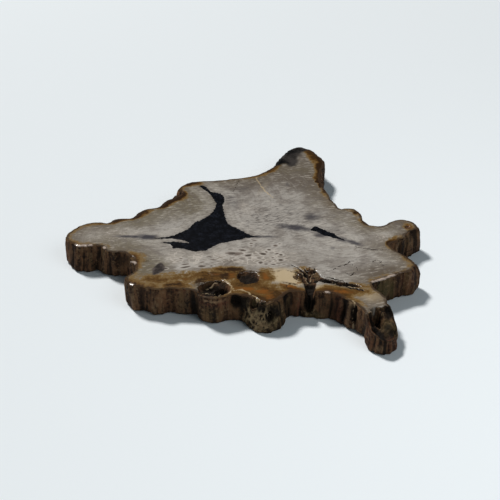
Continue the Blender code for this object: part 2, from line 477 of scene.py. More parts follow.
def line_distance(points, starts, ends):
    """The distance of each point from the nearest of some straight lines."""
    result = np.empty(len(points))
    along = ends - starts
    squared = np.maximum((along**2).sum(axis=1), 1e-16)
    for first in range(0, len(points), BATCH):
        away = points[first : first + BATCH, None] - starts[None]
        share = np.clip((away * along).sum(axis=2) / squared, 0, 1)
        gaps = away - share[..., None] * along
        result[first : first + BATCH] = np.sqrt((gaps**2).sum(axis=2).min(axis=1))
    return result


def ring_distance(points, ring):
    """How far each point lies inside a closed ring, negative outside it."""
    after = np.roll(ring, -1, axis=0)
    gap = line_distance(points, ring, after)
    inside = np.zeros(len(points), bool)
    for (x1, y1), (x2, y2) in zip(ring, after):
        if y1 != y2:
            level = (y1 > points[:, 1]) != (y2 > points[:, 1])
            inside ^= level & (points[:, 0] < x1 + (points[:, 1] - y1) * (x2 - x1) / (y2 - y1))
    return np.where(inside, gap, -gap)


SEAM_REACH = 6 * MM
SEAM_STRAY = (190, 2.2)


def seam_distance(points, drawn):
    """The distance from a drawn seam that wanders a little and swells and thins along its way."""
    bends = np.array(drawn, float) * MM
    distance = line_distance(points, bends[:-1], bends[1:])
    for k in np.nonzero(distance < SEAM_REACH)[0]:
        x, y = points[k]
        jog = stray(Vector((x, y, 0)), SEAM_STRAY)
        moved = np.array([[x + jog.x, y + jog.y]])
        thinning = 1 + 0.9 * noise.noise(Vector((x, y, 1)) * 110)
        distance[k] = line_distance(moved, bends[:-1], bends[1:])[0] * thinning
    return distance


def spread(ring, step, low, high):
    """Points on a slightly uneven triangular grid that keep clear of a ring, between two corners."""
    made = []
    rise = ROW_RISE * step
    for j in range(math.floor(low[1] / rise), math.ceil(high[1] / rise)):
        for i in range(math.floor(low[0] / step), math.ceil(high[0] / step)):
            x, y = (i + 0.5 * (j % 2)) * step, j * step * ROW_RISE
            jog = noise.noise_vector(Vector((x, y, 0)) * 900) * UNEVENNESS * step
            made.append((x + jog.x, y + jog.y))
    made = np.array(made)
    return made[ring_distance(made, ring) > CLEARANCE * step]


def filled(ring, inner):
    """The triangles that fill a ring through its inner points."""
    count = len(ring)
    places = [Vector(point) for point in np.vstack([ring, inner])]
    edges = [(i, (i + 1) % count) for i in range(count)]
    vertices, _, faces, origins, _, _ = delaunay_2d_cdt(places, edges, [], 1, 1e-7)
    if len(vertices) != len(places):
        raise RuntimeError("the rim crosses itself")
    return [[origins[corner][0] for corner in face] for face in faces]


heart_ring, pocket_ring = loop_through(HEART), loop_through(POCKET)
char_ring, inclusion_ring = loop_through(CHAR), loop_through(INCLUSION)
seams = [CREAM_SEAM, *PALE_SEAMS, *DARK_CRACKS]

# The small lenses left by crushed cells below the heart. Each is its middle, its half length and half
# width, and where they aren't 1 and 0, its strength and its turn in degrees.
LENSES = [
    (-84, -135, 8, 2.6, 1, 18), (-83, -128, 7, 2, 0.8, 12), (-91, -113, 4, 1.6, 0.5),
    (-61, -133, 8, 2.9), (-60, -122, 5, 2.2, 0.6), (-45, -116, 6, 1.8, 0.7), (-45, -124, 5, 1.6, 0.7),
    (-47, -132, 3, 2.2, 0.7), (-50, -108, 7, 1.4, 0.8, -7), (-16, -99, 13, 6, 0.8, -6),
    (-4, -89, 6, 3, 0.8, -9), (5, -104, 5, 3.7, 1, 6), (-19, -111, 6, 1.8, 0.5),
    (-3, -114, 7, 1.8, 0.7, -7), (26, -100, 6, 3.4, 1, -30), (35, -88, 3.4, 2.6, 1, -33),
    (31, -94, 3, 2.3, 0.8, -38), (20, -111, 5, 2, 0.8, -7), (22, -124, 3.4, 4, 1, -24),
    (30, -127, 3.4, 2.2, 0.9), (40, -128, 4.4, 1.8, 1, -12), (36, -120, 3, 1.8, 0.8),
    (40, -110, 3, 1.8, 0.7), (52, -102, 3.4, 2.8, 1, -24), (46, -99, 4, 1.9, 0.7, 27),
    (51, -116, 4, 3.4, 0.9), (9, -70, 3, 2.4, 0.6), (9, -77, 3, 1.7, 0.7), (14, -61, 6, 2, 0.6, -24),
    (45, -76, 4, 2.9, 0.7), (51, -71, 2.4, 1.6, 0.6), (-111, -139, 3, 2.4, 0.9),
    (55, -128, 3, 1.6, 0.7), (-21, -86, 4, 1.2, 0.6),
]


def oval(points, x, y, length, width, strength=1, turn=0):
    """An oval's strength, and where each point is along and across it, where it ends at 1."""
    away = points - np.array((x, y)) * MM
    c, s = math.cos(math.radians(turn)), math.sin(math.radians(turn))
    along = (away[:, 0] * c + away[:, 1] * s) / (length * MM)
    across = (away[:, 1] * c - away[:, 0] * s) / (width * MM)
    return strength, along, across


LENS_EDGE = 1.15


def lens_depth(points):
    """How far inside the nearest lens each point is: 1 in its middle, 0 at its edge, -1 far beyond."""
    depth = np.full(len(points), -1.0)
    for lens in LENSES:
        strength, along, across = oval(points, *lens)
        depth = np.maximum(depth, strength * (1 - np.hypot(along, across) / LENS_EDGE))
    return depth


def reaches_from(points, middle, reach):
    """How far each point is from a middle, as a share of a reach."""
    return np.linalg.norm(points - np.array(middle) * MM, axis=1) / (reach * MM)


SHALLOWEST = 0.1 * MM
NEAR_LENS = -0.6


def worth_detail(points):
    """Whether each point is near a hollow or the edge of a marking, where the mesh is finer."""
    near = np.zeros(len(points), bool)
    for ring in (heart_ring, pocket_ring, inclusion_ring):
        near |= line_distance(points, ring, np.roll(ring, -1, axis=0)) < DETAIL_REACH
    for width, drawn in seams:
        near |= seam_distance(points, drawn) < DETAIL_REACH
    near |= lens_depth(points) > NEAR_LENS
    for middle, reach, _ in BROKEN:
        near |= reaches_from(points, middle, reach) < 1
    looks = [(0, 0), (DETAIL_REACH, 0), (-DETAIL_REACH, 0), (0, DETAIL_REACH), (0, -DETAIL_REACH)]
    for k, (x, y) in enumerate(points):
        if not near[k]:
            near[k] = any(
                (ground_under(x + dx, y + dy) or top_height) < top_height - SHALLOWEST
                for dx, dy in looks
            )
    return near


rim = wall_points[-1, :, :2]
low, high = rim.min(axis=0), rim.max(axis=0)
coarse = spread(rim, FACE_STEP, low, high)
fine_too = worth_detail(coarse)
fine = [coarse[~fine_too]]
for dx, dy in ((0, 0), (1, 0), (0.5, 1), (-0.5, 1)):
    moved = coarse[fine_too] + (dx * DETAIL_STEP, dy * DETAIL_STEP * ROW_RISE)
    fine.append(moved[ring_distance(moved, rim) > CLEARANCE * DETAIL_STEP])
inner = np.vstack(fine)
face_triangles = filled(rim, inner)

# The same for the hollows that are open to the face.
FACE_RAGGED = ((60, 2.2), (170, 1.6))
FIRM_RIM = 4 * MM
freedom = np.clip(ring_distance(inner, rim) / FIRM_RIM - FIRM_SHARE, 0, 1)


def worn_ground(x, y, free):
    """The solid's upper surface with the hollows' edges made ragged."""
    jog = stray(Vector((x, y, 0)), *FACE_RAGGED)
    return ground_under(x + free * jog.x, y + free * jog.y) or top_height


def seam_cover(points, width, drawn):
    """How strongly a seam covers each point: 1 on its line, fading over its half width."""
    return np.exp(-((seam_distance(points, drawn) / (width * MM)) ** 2))


# How high the seams and lumps stand in the hollows, how rough these are, and how that comes in with
# depth.
SEAM_HEIGHT = 2.2 * MM
LUMP_HEIGHT = 2.2 * MM
HOLLOW_GRIT = 1.1 * MM
SUNK_FROM = 0.15 * MM
SUNK_FADE = 2 * MM
inner_heights = np.array([worn_ground(x, y, free) for (x, y), free in zip(inner, freedom)])
for middle, reach, depth in BROKEN:
    away = reaches_from(inner, middle, reach)
    for i in np.nonzero(away < 1)[0]:
        x, y = inner[i]
        splinters = noise.noise(Vector((x * 150, y * 110, 2)))
        splinters += 0.6 * noise.noise(Vector((x * 330, y * 240, 4)))
        inner_heights[i] -= depth * MM * (1 - away[i] ** 2) * max(0, splinters + 0.15)
sunk = np.clip((top_height - inner_heights - SUNK_FROM) / SUNK_FADE, 0, 1)
inner_nets, inner_pocks = np.zeros(len(inner)), np.zeros(len(inner))
for i, (x, y) in enumerate(inner):
    if sunk[i]:
        net, pock = pocks(x, y, inner_heights[i])
        inner_nets[i], inner_pocks[i] = sunk[i] * net, sunk[i] * pock
        lumps = noise.noise(Vector((x, y, 0.3)) * 85) + noise.noise(Vector((x, y, 0.6)) * 190)
        rough = HOLLOW_GRIT * grit(x, y, inner_heights[i]) + LUMP_HEIGHT * lumps
        inner_heights[i] += sunk[i] * (rough - POCK_DEPTH * inner_pocks[i])
for middle, reach, height in LUMPS:
    inner_heights += sunk * height * MM * np.exp(-(reaches_from(inner, middle, reach) ** 2))
for width, drawn in PALE_SEAMS:
    inner_heights += sunk * SEAM_HEIGHT * seam_cover(inner, width, drawn)
for width, drawn in DARK_CRACKS:
    inner_heights -= width * MM * seam_cover(inner, width, drawn)
inner_heights = np.minimum(inner_heights, top_height)

foot = wall_points[0, :, :2]
beneath = spread(foot, UNDERSIDE_STEP, foot.min(axis=0), foot.max(axis=0))
under_triangles = filled(foot, beneath)

# The stone, joined into one closed skin.
# The real slab is a single fossil, with no joint anywhere. Here too it is one piece: the wall's strips,
# the face and the underside share their edge points.
wall_count = wall_points.shape[0] * strips
places = np.vstack(
    [
        wall_points.reshape(-1, 3),
        np.column_stack([inner, inner_heights]),
        np.column_stack([beneath, np.zeros(len(beneath))]),
    ]
)
polygons = []
for row in range(wall_points.shape[0] - 1):
    for strip in range(strips):
        after = (strip + 1) % strips
        lower, upper = row * strips, (row + 1) * strips
        polygons.append((lower + strip, lower + after, upper + after, upper + strip))
last_ring = wall_count - strips
for corners in face_triangles:
    polygons.append([last_ring + c if c < strips else wall_count + c - strips for c in corners])
for corners in under_triangles:
    shifted = [c if c < strips else wall_count + len(inner) + c - strips for c in corners]
    polygons.append(shifted[::-1])

slab_data = bpy.data.meshes.new("petrified_wood")
slab_data.from_pydata(places.tolist(), [], polygons)
slab_data.validate()
slab_data.shade_smooth()
slab = bpy.data.objects.new("petrified_wood", slab_data)
bpy.context.collection.objects.link(slab)
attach(slab, "root")
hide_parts("petrified_wood_slab")

# The minerals.
# Silica took the place of the wood, and other minerals coloured it: carbon in the heart, manganese in
# the grey smoke, iron in the rust along the rim. How much of each is present is kept at every point,
# and so are the painted highlight on the rim and the painted shade in the hollows.

# Patches on the face, as ovals like the lenses. First the iron: rust all over, rust and dark brown that
# keep to the rim, then its brightest orange and its darkest brown.
RUST = [
    (-122, -168, 30, 12, 0.75), (-84, -163, 36, 14, 0.66), (-44, -160, 30, 15), (34, -214, 30, 8, 0.9),
    (-24, -142, 20, 7), (-66, -150, 30, 6, 0.5), (-20, -156, 14, 12), (3, -178, 26, 22),
    (28, -194, 18, 16), (28, -160, 11, 18, 0.85), (60, -187, 14, 6, 0.9, -25), (80, -158, 9, 18, 0.7),
    (84, -146, 14, 10, 0.7, -10), (115, -191, 12, 9, 0.8), (134, -196, 18, 8, 1, -15),
    (154, -196, 16, 8, 0.75, -10), (150, -182, 24, 6, 0.6, -10), (-152, -112, 10, 14, 0.55, 10),
    (-162, -150, 8, 20, 0.3), (118, 240, 8, 34, 0.8, 10), (128, 190, 7, 44, 0.6), (249, -20, 7, 9, 0.9),
    (184, -178, 20, 14, 0.3, 20), (-108, 84, 9, 14, 1, 25), (-90, 128, 12, 8, 0.8),
    (-128, 60, 12, 10, 1, 30), (-167, 21, 12, 9, 0.9, 20), (-202, 0, 12, 6, 0.7, 20),
    (232, -116, 8, 16, 0.3),
]
RIM_RUST = [
    (120, 130, 14, 40, 1, 15), (134, 180, 16, 50), (128, 240, 16, 40), (140, 96, 20, 20, 0.5),
    (-108, 82, 20, 30, 1, 25), (-92, 126, 16, 16, 0.9), (-130, 58, 22, 20, 1, 30),
    (-168, 20, 22, 20, 1, 20), (-200, 0, 22, 12, 0.9, 20), (-226, -9, 26, 12, 0.6, 20),
    (-258, -36, 16, 18, 0.6, 30), (-248, -66, 20, 12, 0.6), (16, 168, 22, 16, 0.9, 20),
    (44, 184, 24, 16, 0.9, 40), (176, 26, 18, 16, 0.5), (190, -4, 18, 16, 0.5),
    (-40, 148, 60, 12, 0.35), (218, -66, 16, 16, 1, -20), (248, 4, 30, 14, 0.25),
    (206, -152, 34, 14, 0.3, 15), (232, -120, 14, 30, 0.2), (-110, -176, 60, 12, 0.9),
    (-160, -120, 14, 24, 0.9), (90, -196, 40, 10, 0.6), (150, -212, 20, 20, 0.6),
    (-200, -76, 50, 10, 0.3), (30, -212, 50, 18), (100, -204, 50, 12, 0.8),
]
RIM_BISTRE = [
    (-106, 78, 16, 20, 1.4, 25), (-90, 126, 12, 12, 1.1), (-128, 55, 18, 14, 1.4, 25),
    (-166, 17, 16, 12, 1.3, 20), (-206, -2, 16, 8, 0.8, 20), (120, 124, 10, 30, 1.2, 15),
    (134, 190, 12, 50, 1.3), (188, -6, 10, 10), (172, 26, 10, 8, 0.7), (216, -70, 14, 10, 1, -20),
    (36, 178, 16, 8, 0.7, 40), (-130, -178, 60, 7, 0.8), (-150, -110, 8, 12, 0.7),
    (230, -110, 8, 14, 0.6), (130, 250, 10, 20, 0.7),
]
EMBER = [
    (24, -196, 13, 7, 1, -15), (4, -190, 20, 6, 0.9), (29, -160, 5, 13, 0.95), (-18, -157, 8, 9, 0.8),
    (62, -184, 13, 4, 0.9, -25), (34, -208, 7, 6), (130, -197, 14, 5, 1, -10), (116, -191, 8, 4, 0.7),
    (-84, -166, 20, 6, 0.45), (-40, -154, 18, 5, 0.5), (76, -176, 8, 6, 0.6), (249, -20, 5, 7, 0.9),
    (-152, -108, 8, 8, 0.5), (124, 210, 5, 26, 0.4), (-108, 78, 8, 10, 0.4),
]
BISTRE = [
    (86, -152, 15, 12, 1, -10), (80, -166, 12, 14, 0.6), (-44, -150, 26, 5, 0.5), (3, -148, 26, 6, 0.7),
    (60, -176, 16, 4, 0.7, -20), (126, -176, 26, 6, 1, -24), (-60, -172, 10, 12, 0.8),
    (-100, -174, 36, 3, 0.3), (150, -190, 20, 3, 0.6, -12), (-18, -141, 18, 5), (-28, -158, 8, 10, 0.8),
    (46, -146, 14, 4, 0.5, 20), (-92, -158, 22, 2, 0.35), (-140, -120, 8, 6, 0.5),
    (166, -238, 12, 6, 0.5, -20), (200, -100, 8, 3, 0.4),
]
# Cream and chalky silica.
CREAM = [
    (54, -158, 22, 16, 1.25, -10), (66, -174, 12, 8, 1, -20), (106, -189, 12, 8, 0.85, -15),
    (42, -206, 7, 5, 0.9), (60, -176, 10, 6, 0.7, -20), (168, -205, 20, 20, 0.55, 30),
    (29, 111, 8, 44, 0.3, -20), (200, -112, 50, 20, 0.2, 10),
]
CHALK = [
    (0, 40, 34, 26, 0.6, 20), (-8, 20, 16, 16, 0.5), (-100, -110, 16, 20, 0.9),
    (-36, -112, 14, 22, 0.9), (-70, -112, 14, 22, 0.9), (20, -108, 54, 26), (-20, -118, 110, 16, 0.4),
    (-186, -44, 60, 24, 0.6), (60, -60, 40, 14, 0.35), (-120, -36, 40, 10, 0.3, 25),
    (140, -90, 60, 24, 0.4), (206, -50, 20, 20, 0.6), (60, 60, 60, 30, 0.35, 20),
    (50, 40, 50, 14, 0.3, 25),
]
# Brown and olive stains, then manganese as smoke and as fine strokes.
UMBER = [
    (96, 190, 40, 70), (56, 164, 50, 26, 0.8, 20), (-84, 72, 60, 60, 0.7, 20),
    (30, 128, 110, 30, 0.6, 16), (84, 140, 50, 40, 0.8, 10), (-10, 150, 60, 16, 0.5),
    (110, 110, 20, 50, 0.5, 20), (250, -16, 22, 24, 0.8), (70, 150, 60, 30, 0.9, 10),
    (-130, -140, 40, 24, 0.5), (196, -150, 44, 26, 0.9, 10), (168, -212, 26, 36, 0.8, 30),
    (0, -112, 90, 26, 0.85), (236, -60, 20, 30, 0.4),
]
MOSS = [
    (-180, -60, 60, 30, 0.55), (-100, 66, 44, 56, 1, 15), (-142, -128, 36, 26),
    (-150, 10, 60, 30, 0.8, 20), (90, 190, 60, 40, 0.5), (-90, 90, 40, 40, 0.4),
    (180, -10, 60, 20, 0.5, -20),
]
SMOKE = [
    (-163, -50, 30, 4, 1, -3), (-148, -51, 18, 9), (28, -50, 18, 4, 0.9), (112, -45, 14, 8, 0.7, -30),
    (146, -60, 14, 8, 0.8, -30), (158, -66, 16, 6, 0.9, -35), (76, -22, 26, 10, 1, -15),
    (104, 10, 16, 16, 0.65), (-22, 61, 12, 40, 0.55, 8), (-10, 107, 26, 16, 0.4, 30),
    (130, -27, 30, 16, 0.4, -30), (-60, 131, 26, 8, 0.3), (-170, -57, 50, 14, 0.3),
    (70, 126, 4, 7, 0.7), (128, -84, 5, 5, 0.7), (-58, 104, 8, 30, 0.3, 30), (58, -112, 40, 10, 0.2),
]
STROKES = [
    (36, 20, 60, 40, 1, 30), (60, -20, 50, 26, 0.7), (-100, 0, 60, 26, 0.3, 30), (40, -70, 80, 30, 0.4),
]
# Where the rim is still polished and a highlight is painted on it: places in space, as middle, reach
# and strength.
POLISHED_AND_HIGHLIT_SPOTS = [
    ((-241, -75, 42), 12, 1), ((-228, -75, 42), 7, 0.8), ((-205, -82, 42), 5, 0.9),
    ((-159, -122, 38), 9, 1), ((-153, -179, 42), 6, 1), ((189, -167, 41), 14, 1),
    ((203, -160, 41), 12, 1), ((216, -150, 42), 10, 0.6), ((176, -173, 41), 6, 0.8),
    ((111, -199, 40), 6, 0.9), ((42, -206, 41), 6, 0.7), ((183, -228, 38), 5, 0.8),
    ((160, -266, 14), 10, 0.5), ((172, -281, 11), 8, 0.6),
]
# Colours of single places on the bark: the middle, the reach across and upwards, and the strength. The
# dark places are partly dark stone and partly painted shade in grooves and hollows.
DARK_AND_SHADED_SPOTS = [
    ((89, -189, 20), 9, 15, 1), ((89, -180, 34), 6, 12, 0.8), ((134, -216, 30), 5, 40, 0.9),
    ((145, -222, 28), 6, 12, 1), ((54, -207, 38), 5, 10, 1), ((-6, -208, 32), 13, 12, 0.9),
    ((21, -218, 36), 9, 8, 0.9), ((44, -226, 28), 8, 8, 0.7), ((153, -246, 32), 4, 14, 0.6),
    ((174, -266, 24), 5, 12, 0.7), ((190, -232, 34), 8, 16, 0.8), ((45, -227, 25), 7, 6, 0.6),
    ((-44, -176, 30), 20, 12, 0.3), ((-140, -188, 20), 4, 30, 0.7), ((-116, -190, 20), 3, 30, 0.7),
    ((-69, -194, 22), 5, 30, 0.8), ((-178, -95, 28), 10, 14, 0.5), ((3, -166, 36), 20, 12, 0.6),
    ((118, -172, 40), 14, 10, 0.6), ((142, -184, 40), 14, 10, 0.5), ((240, -60, 20), 12, 14, 0.7),
    ((60, -200, 12), 5, 20, 0.6), ((-160, -118, 14), 5, 16, 0.8), ((70, -198, 16), 14, 26, 0.3),
    ((114, -206, 20), 22, 26, 0.44), ((-76, -196, 20), 16, 26, 0.36), ((167, -262, 30), 5, 10, 0.9),
    ((175, -276, 18), 4, 10, 1), ((187, -262, 24), 16, 12, 0.25),
]
# The leg's broken slope, a weathered hollow where most of the hollows' painted shade is left out.
CRUST = [((176, -252, 26), 30, 1)]
REDDISH = [
    ((165, -276, 12), 16, 9, 0.5), ((67, -196, 22), 10, 30, 0.4), ((125, -210, 20), 12, 30, 0.7),
    ((160, -262, 28), 12, 24, 0.6), ((180, -262, 20), 16, 16, 0.3), ((-100, -190, 20), 16, 20, 0.4),
    ((-40, -212, 34), 26, 7, 0.7), ((230, -140, 28), 20, 20, 0.5), ((-166, -112, 24), 8, 20, 0.7),
]
OLIVE = [
    ((187, -256, 22), 16, 30, 0.8), ((194, -165, 25), 16, 20, 0.9), ((22, -218, 14), 34, 12, 0.6),
    ((96, -196, 6), 22, 7, 0.7), ((-90, -190, 24), 14, 26, 0.5), ((245, -50, 30), 24, 20, 0.4),
    ((-46, -212, 14), 24, 18, 0.5), ((24, -218, 18), 34, 30, 0.8), ((172, -262, 30), 14, 30, 0.3),
]
# Pale places: partly pale stone and partly a painted highlight on raised edges and lips.
PALE_AND_HIGHLIT_SPOTS = [
    ((-40, -212, 37), 30, 5, 0.6), ((-16, -196, 40), 5, 20, 0.7), ((25, -224, 37), 16, 3, 0.7),
    ((31, -224, 19), 10, 6, 0.5), ((130, -210, 28), 4, 14, 0.5), ((142, -220, 42), 6, 12, 0.9),
    ((147, -229, 34), 5, 16, 0.6), ((172, -281, 11), 10, 6, 0.7), ((158, -264, 16), 8, 5, 0.5),
    ((164, -262, 34), 5, 14, 0.7), ((172, -244, 38), 14, 8, 0.5), ((184, -262, 26), 5, 12, 0.5),
    ((166, -243, 40), 14, 6, 0.8), ((190, -246, 34), 6, 8, 0.5), ((22, -228, 22), 26, 20, 0.85),
    ((-118, -190, 24), 14, 20, 0.35), ((-131, -192, 22), 5, 30, 0.4), ((-164, -172, 26), 6, 30, 0.4),
    ((91, -200, 8), 14, 3, 0.6),
]
# How steeply patches and spots fade.
PATCH_FADE = 0.7
SPOT_FADE = 0.9


def patches(points, drawn):
    """How strongly a set of soft patches covers each point."""
    cover = np.zeros(len(points))
    for patch in drawn:
        strength, along, across = oval(points, *patch)
        away_squared = along * along + across * across
        cover = np.maximum(cover, strength * np.exp(-PATCH_FADE * away_squared))
    return cover


def spots(points, drawn):
    """The same for places in space, with one reach all round, or one across and one upwards."""
    cover = np.zeros(len(points))
    for middle, *reaches, strength in drawn:
        across, upwards = (reaches * 2)[:2]
        away = (points - np.array(middle) * MM) / (np.array((across, across, upwards)) * MM)
        cover = np.maximum(cover, strength * np.exp(-SPOT_FADE * (away**2).sum(axis=1)))
    return cover


def lines(points, drawn):
    """How strongly some seams cover each point."""
    cover = np.zeros(len(points))
    for width, bends in drawn:
        cover = np.maximum(cover, seam_cover(points, width, bends))
    return cover


def over_all(wall_values, face_values=0.0):
    """One value for every point, from the wall's rows, the face's points and nothing underneath."""
    face_values = np.broadcast_to(face_values, len(inner))
    return np.concatenate([np.ravel(wall_values), face_values, np.zeros(len(beneath))])


# How far down the bark's look starts and over how much it comes in, on the wall, at the rim and in the
# face's hollows. Then how deep a hollow's painted shade reaches its darkest, and how low the wall still
# shows the saw.
WALL_BARK = (0.2 * MM, 0.8 * MM)
RIM_BARK = (0.3 * MM, 1.3 * MM)
HOLLOW_BARK = (0.2 * MM, 1.3 * MM)
DARKEST = 16 * MM
SAWN_BELOW = 1.2 * MM


def come_in(drop, start, fade):
    """0 down to a start and 1 beyond a fade below it."""
    return np.clip((drop - start) / fade, 0, 1)


plan = places[:, :2]
drop = np.vstack([rim_heights - heights, np.zeros(strips)])
inner_drop = top_height - inner_heights
bark = come_in(drop, *WALL_BARK)
bark[-1] = come_in(top_height - rim_heights, *RIM_BARK)
carbon = np.maximum(ring_distance(plan, heart_ring), ring_distance(plan, pocket_ring))
# Painted shade in the hollows: darker where the wall is set back from its neighbours and the deeper a
# hollow in the face goes, weaker on the leg's crust.
hollow_shade = over_all(np.vstack([hollow, np.zeros(strips)]), come_in(inner_drop, 0, DARKEST))
hollow_shade *= 1 - 0.7 * np.minimum(spots(places, CRUST) * 1.3, 1)

# How much of each mark there is at each point, and in millimetres how far it is inside each outline.
marks = {
    "bark": over_all(bark, come_in(inner_drop, *HOLLOW_BARK)),
    "hollow_shade": hollow_shade,
    "rib": over_all(wall_ribs),
    "net": over_all(wall_nets, inner_nets),
    "pock": over_all(wall_pocks, inner_pocks),
    "sawn": np.clip((SAWN_BELOW - places[:, 2]) / MM, 0, 1),
    "to_edge": over_all(-drop, ring_distance(inner, rim)) / MM,
    "carbon": carbon / MM,
    "char": ring_distance(plan, char_ring) / MM,
    "inclusion": ring_distance(plan, inclusion_ring) / MM,
    "from_rim": np.maximum(ring_distance(plan, outline), 0) / MM,
    "lens": lens_depth(plan),
    "rust": patches(plan, RUST),
    "rim_rust": patches(plan, RIM_RUST),
    "rim_bistre": patches(plan, RIM_BISTRE),
    "ember": patches(plan, EMBER),
    "bistre": patches(plan, BISTRE),
    "cream": np.maximum(patches(plan, CREAM), 0.75 * lines(plan, [CREAM_SEAM])),
    "umber": patches(plan, UMBER),
    "chalk": patches(plan, CHALK),
    "moss": patches(plan, MOSS),
    "smoke": patches(plan, SMOKE),
    "strokes": patches(plan, STROKES),
    "cracks": lines(plan, DARK_CRACKS),
    "crystal": lines(plan, PALE_SEAMS),
    "polish_and_highlight": spots(places, POLISHED_AND_HIGHLIT_SPOTS),
    "dark_and_shade": spots(places, DARK_AND_SHADED_SPOTS),
    "reddish": spots(places, REDDISH),
    "olive": spots(places, OLIVE),
    "pale_and_highlit": spots(places, PALE_AND_HIGHLIT_SPOTS),
}
for name, values in marks.items():
    kept = slab_data.attributes.new(name, "FLOAT", "POINT")
    kept.data.foreach_set("value", values.astype(np.float32))

# The finish.
# The face is ground and polished to a gloss, the bark is as rough and dull as it was dug up, and the
# underside is dusty from the saw. Each colour is laid over the last, where its mark and some noise say.


class Wire:
    """A socket in a material. Numbers on it add, subtract and multiply as written."""

    def __init__(self, finish, socket):
        self.finish, self.socket = finish, socket

    def __add__(self, other):
        return self.finish.maths("ADD", self, other)

    def __sub__(self, other):
        return self.finish.maths("SUBTRACT", self, other)

    def __rsub__(self, other):
        return self.finish.maths("SUBTRACT", other, self)

    def __mul__(self, other):
        return self.finish.maths("MULTIPLY", self, other)

    __radd__ = __add__
    __rmul__ = __mul__


class Finish:
    """A material, built up one node at a time."""

    def __init__(self, name):
        self.material = bpy.data.materials.new(name)
        self.material.use_nodes = True
        self.tree = self.material.node_tree
        self.shader = self.tree.nodes["Principled BSDF"]

    def feed(self, socket, value):
        if isinstance(value, Wire):
            self.tree.links.new(value.socket, socket)
        else:
            socket.default_value = value

    def node(self, kind, settings, inputs, output=0):
        made = self.tree.nodes.new(kind)
        for name, value in settings.items():
            setattr(made, name, value)
        for name, value in inputs.items():
            self.feed(made.inputs[name], value)
        return Wire(self, made.outputs[output])

    def maths(self, operation, first, second):
        return self.node("ShaderNodeMath", {"operation": operation}, {0: first, 1: second})

    def mixed(self, under, over, share):
        """One colour over another by its share, through the node's colour inputs and output."""
        settings = {"data_type": "RGBA", "clamp_factor": True}
        return self.node("ShaderNodeMix", settings, {0: share, 6: under, 7: over}, 2)

    def step(self, value, none_at, full_at):
        """0 up to one value and 1 from another, smoothly. The first may be the larger."""
        inputs = {"Value": value, "From Min": none_at, "From Max": full_at}
        return self.node("ShaderNodeMapRange", {"interpolation_type": "SMOOTHSTEP"}, inputs)

    def laid(self, under, *layers):
        """A colour with layers over it. Each layer is its colour, the value that says where it lies,
        the values at which none and all of it shows, and its strength.
        """
        for colour, place, none_at, full_at, strength in layers:
            under = self.mixed(under, colour, self.step(place, none_at, full_at) * strength)
        return under

    def mark(self, name):
        return self.node("ShaderNodeAttribute", {"attribute_name": name}, {}, "Fac")

    def stretched(self, where, turn, scale):
        """Coordinates turned about the upright and then scaled."""
        inputs = {"Vector": where, "Angle": math.radians(turn)}
        turned = self.node("ShaderNodeVectorRotate", {"rotation_type": "Z_AXIS"}, inputs)
        return self.node("ShaderNodeVectorMath", {"operation": "MULTIPLY"}, {0: turned, 1: scale})

    def cloud(self, where, scale, detail=3, roughness=0.55, distortion=0, output="Fac"):
        inputs = {"Vector": where, "Scale": scale, "Detail": detail, "Roughness": roughness}
        return self.node("ShaderNodeTexNoise", {}, {**inputs, "Distortion": distortion}, output)

    def cell_border(self, where, scale):
        """The distance from the border between two cells."""
        inputs = {"Vector": where, "Scale": scale, "Randomness": 1}
        settings = {"feature": "DISTANCE_TO_EDGE"}
        return self.node("ShaderNodeTexVoronoi", settings, inputs, "Distance")


def paint(red, green, blue):
    """A colour given as 0 to 255 on a colour chart, made linear for the shader."""
    levels = [level / 255 for level in (red, green, blue)]
    linear = [v / 12.92 if v <= 0.04045 else ((v + 0.055) / 1.055) ** 2.4 for v in levels]
    return (*linear, 1)


stone = Finish("petrified_wood")
where = stone.node("ShaderNodeTexCoord", {}, {}, "Object")
mark = {name: stone.mark(name) for name in marks}

# Noise from broad to fine. The same about nought, as a jog, moves a patch's edge to and fro.
drift = stone.cloud(where, 14, 4)
fog = stone.cloud(where, 34, 5, 0.6)
mottle = stone.cloud(where, 95, 5, 0.7)
speck = stone.cloud(where, 420, 3, 0.7)
streaks = stone.cloud(stone.stretched(where, -12, (70, 260, 1)), 1, 4, 0.65)
drift_jog, fog_jog, mottle_jog, speck_jog = drift - 0.5, fog - 0.5, mottle - 0.5, speck - 0.5
streak_jog = streaks - 0.5

# Silica: pale grey in the middle of the face, browner and darker towards the bark, with a pale ring and
# faint growth rings round the heart, and fine streaks all over.
round_heart = {"X": mark["carbon"] * 0.16, "Y": drift * 3, "Z": fog}
rings = stone.cloud(stone.node("ShaderNodeCombineXYZ", {}, round_heart), 1.6, 4, 0.7)
soft_streaks = streaks + fog_jog * 0.3
beside_heart = stone.step(mark["carbon"], 0, -7)
face = stone.laid(
    paint(164, 157, 149),
    (paint(144, 136, 128), fog, 0.44, 0.58, 1),
    (paint(113, 102, 86), mark["from_rim"] + drift_jog * 70, 62, 2, 0.9),
    (paint(90, 78, 65), mark["umber"] * (0.5 + fog), 0.1, 0.9, 0.8),
    (paint(96, 79, 58), mark["from_rim"] + fog_jog * 40, 22, 2, 0.5),
    (paint(114, 104, 82), mark["moss"] + fog_jog * 0.6, 0.1, 0.8, 0.6),
    (paint(184, 176, 165), mark["carbon"] + fog_jog * 16, -24, -14, beside_heart * 0.35),
    (paint(112, 102, 97), rings, 0.5, 0.64, 0.4),
    (paint(176, 170, 163), rings, 0.47, 0.36, 0.18),
    (paint(100, 92, 87), soft_streaks, 0.52, 0.64, 0.5),
    (paint(194, 185, 174), soft_streaks, 0.46, 0.34, 0.5),
    (paint(96, 87, 80), mottle, 0.53, 0.68, 0.4),
    (paint(176, 168, 160), mottle, 0.45, 0.32, 0.3),
    (paint(92, 84, 76), speck, 0.56, 0.68, 0.3),
)

